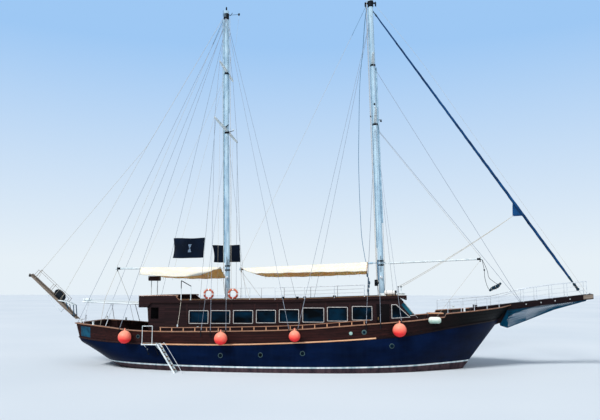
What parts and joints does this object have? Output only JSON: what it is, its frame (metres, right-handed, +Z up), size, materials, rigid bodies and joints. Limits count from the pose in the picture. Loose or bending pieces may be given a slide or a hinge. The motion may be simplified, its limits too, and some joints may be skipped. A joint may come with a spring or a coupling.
{
  "type": "two-masted wooden tour boat",
  "caption": "Wooden motor-sailing tour boat with pirate trim: decked navy hull, deckhouse, masts, furled jib, booms with awnings, bow platform and stern gangway.",
  "frame": {"origin": "amidships on the centreline, on the waterline", "axes": "+X towards the bow, +Y to port, +Z up"},
  "size_m": [35.2368, 8.1614, 27.09],
  "materials": {
    "hull_paint": "gloss navy paint on planks",
    "antifoul": "matt antifouling paint",
    "teak": "bare planks",
    "mahogany": "dark varnish",
    "varnish": "light varnish",
    "spar_white": "gloss white paint",
    "white_paint": "satin white paint",
    "cream_cloth": "woven awning cloth",
    "white_cloth": "woven awning cloth",
    "blue_sail": "rolled sailcloth",
    "black_cloth": "light woven cloth",
    "net": "knotted rope net",
    "steel": "polished tube",
    "wire": "stranded wire",
    "glass": "tinted glass",
    "bronze": "cast bronze",
    "rubber": "matt black",
    "coral_vinyl": "inflated vinyl",
    "white_vinyl": "inflated vinyl",
    "orange_foam": "moulded foam with bands"
  },
  "bodies": {
    "boat": {"hull": "hull_paint", "keel": "antifoul", "deck": "teak", "hatch_coaming": "varnish", "bulwark": "mahogany", "rail_cap": "varnish", "bow_platform": "mahogany", "bow_rail": "steel", "bow_net": "net", "deckhouse_side_starboard": "mahogany", "deckhouse_side_port": "mahogany", "side_glass_starboard": "glass", "side_glass_port": "glass", "deckhouse_front": "mahogany", "windscreen_glass": "glass", "deckhouse_aft_wall": "mahogany", "deckhouse_roof": "mahogany", "helm_console": "mahogany", "foremast": "spar_white", "mainmast": "spar_white", "stern_awning": "white_cloth", "stern_awning_frame": "steel", "furled_jib": "blue_sail", "staysail_stay": "wire", "fore_shroud_starboard": "wire", "fore_shroud_port": "wire", "main_shroud_starboard": "wire", "main_shroud_port": "wire", "fore_runner_starboard": "wire", "fore_runner_port": "wire", "main_runner_starboard": "wire", "main_runner_port": "wire", "side_rail_starboard": "varnish", "side_rail_port": "varnish", "roof_rail": "steel", "roof_box": "mahogany", "boarding_platform": "white_paint", "lifebuoy_1": "orange_foam", "lifebuoy_2": "orange_foam", "ball_fender_1": "coral_vinyl", "ball_fender_2": "coral_vinyl", "ball_fender_3": "coral_vinyl", "ball_fender_4": "coral_vinyl", "long_fender": "white_vinyl", "flag_starboard": "black_cloth", "flag_port": "black_cloth"},
    "rudder": {"rudder": "antifoul"},
    "propeller": {"propeller": "bronze"},
    "helm_wheel": {"helm_wheel": "varnish"},
    "main_boom": {"main_boom": "spar_white", "main_awning": "cream_cloth"},
    "fore_boom": {"fore_boom": "spar_white", "fore_awning": "cream_cloth"},
    "derrick_boom": {"derrick_boom": "spar_white"},
    "passerelle": {"passerelle": "white_paint", "black_fender": "rubber"},
    "boarding_ladder": {"boarding_ladder": "white_paint"},
    "side_door_starboard": {"side_door_starboard": "mahogany"},
    "side_door_port": {"side_door_port": "mahogany"},
    "hatch_lid": {"hatch_lid": "varnish"}
  },
  "joints": [
    {"name": "rudder_turn", "type": "hinge", "parent": "boat", "child": "rudder", "pos_m": [-10.8, 0, -1], "axis": [0, 0, 1], "range_deg": [-35, 35]},
    {"name": "helm_turn", "type": "hinge", "parent": "boat", "child": "helm_wheel", "pos_m": [6.265, 0, 3.0622], "axis": [1, 0, 0], "range_deg": [-540, 540]},
    {"name": "propeller_spin", "type": "hinge", "parent": "boat", "child": "propeller", "pos_m": [-9.76, 0, -1.74], "axis": [1, 0, 0], "continuous": true},
    {"name": "main_boom_swing", "type": "hinge", "parent": "boat", "child": "main_boom", "pos_m": [-4.97624, 0, 6.16], "axis": [0, 0, 1], "range_deg": [-4, 4]},
    {"name": "fore_boom_swing", "type": "hinge", "parent": "boat", "child": "fore_boom", "pos_m": [4.89946, 0, 6.45], "axis": [0, 0, 1], "range_deg": [-4, 4]},
    {"name": "derrick_boom_swing", "type": "hinge", "parent": "boat", "child": "derrick_boom", "pos_m": [5.39874, 0, 6.43], "axis": [0, 0, 1], "range_deg": [-40, 40]},
    {"name": "passerelle_lift", "type": "hinge", "parent": "boat", "child": "passerelle", "pos_m": [-14.01, -1.5, 2.9], "axis": [0, 1, 0], "range_deg": [-46, 30]},
    {"name": "boarding_ladder_lift", "type": "hinge", "parent": "boat", "child": "boarding_ladder", "pos_m": [-7.8997, -3.905, 1.62], "axis": [0, 1, 0], "range_deg": [-57, 0]},
    {"name": "side_door_starboard_hinge", "type": "hinge", "parent": "boat", "child": "side_door_starboard", "pos_m": [5.585, -2.3103, 3], "axis": [0, 0, 1], "range_deg": [0, 90]},
    {"name": "side_door_port_hinge", "type": "hinge", "parent": "boat", "child": "side_door_port", "pos_m": [5.585, 2.3103, 3], "axis": [0, 0, -1], "range_deg": [0, 90]},
    {"name": "hatch_lid_hinge", "type": "hinge", "parent": "boat", "child": "hatch_lid", "pos_m": [8.939, 0, 3.333], "axis": [0, 1, 0], "range_deg": [0, 80]}
  ],
  "couplings": [
    {"joint": "helm_turn", "follows": "rudder_turn", "ratio": 15.4}
  ]
}
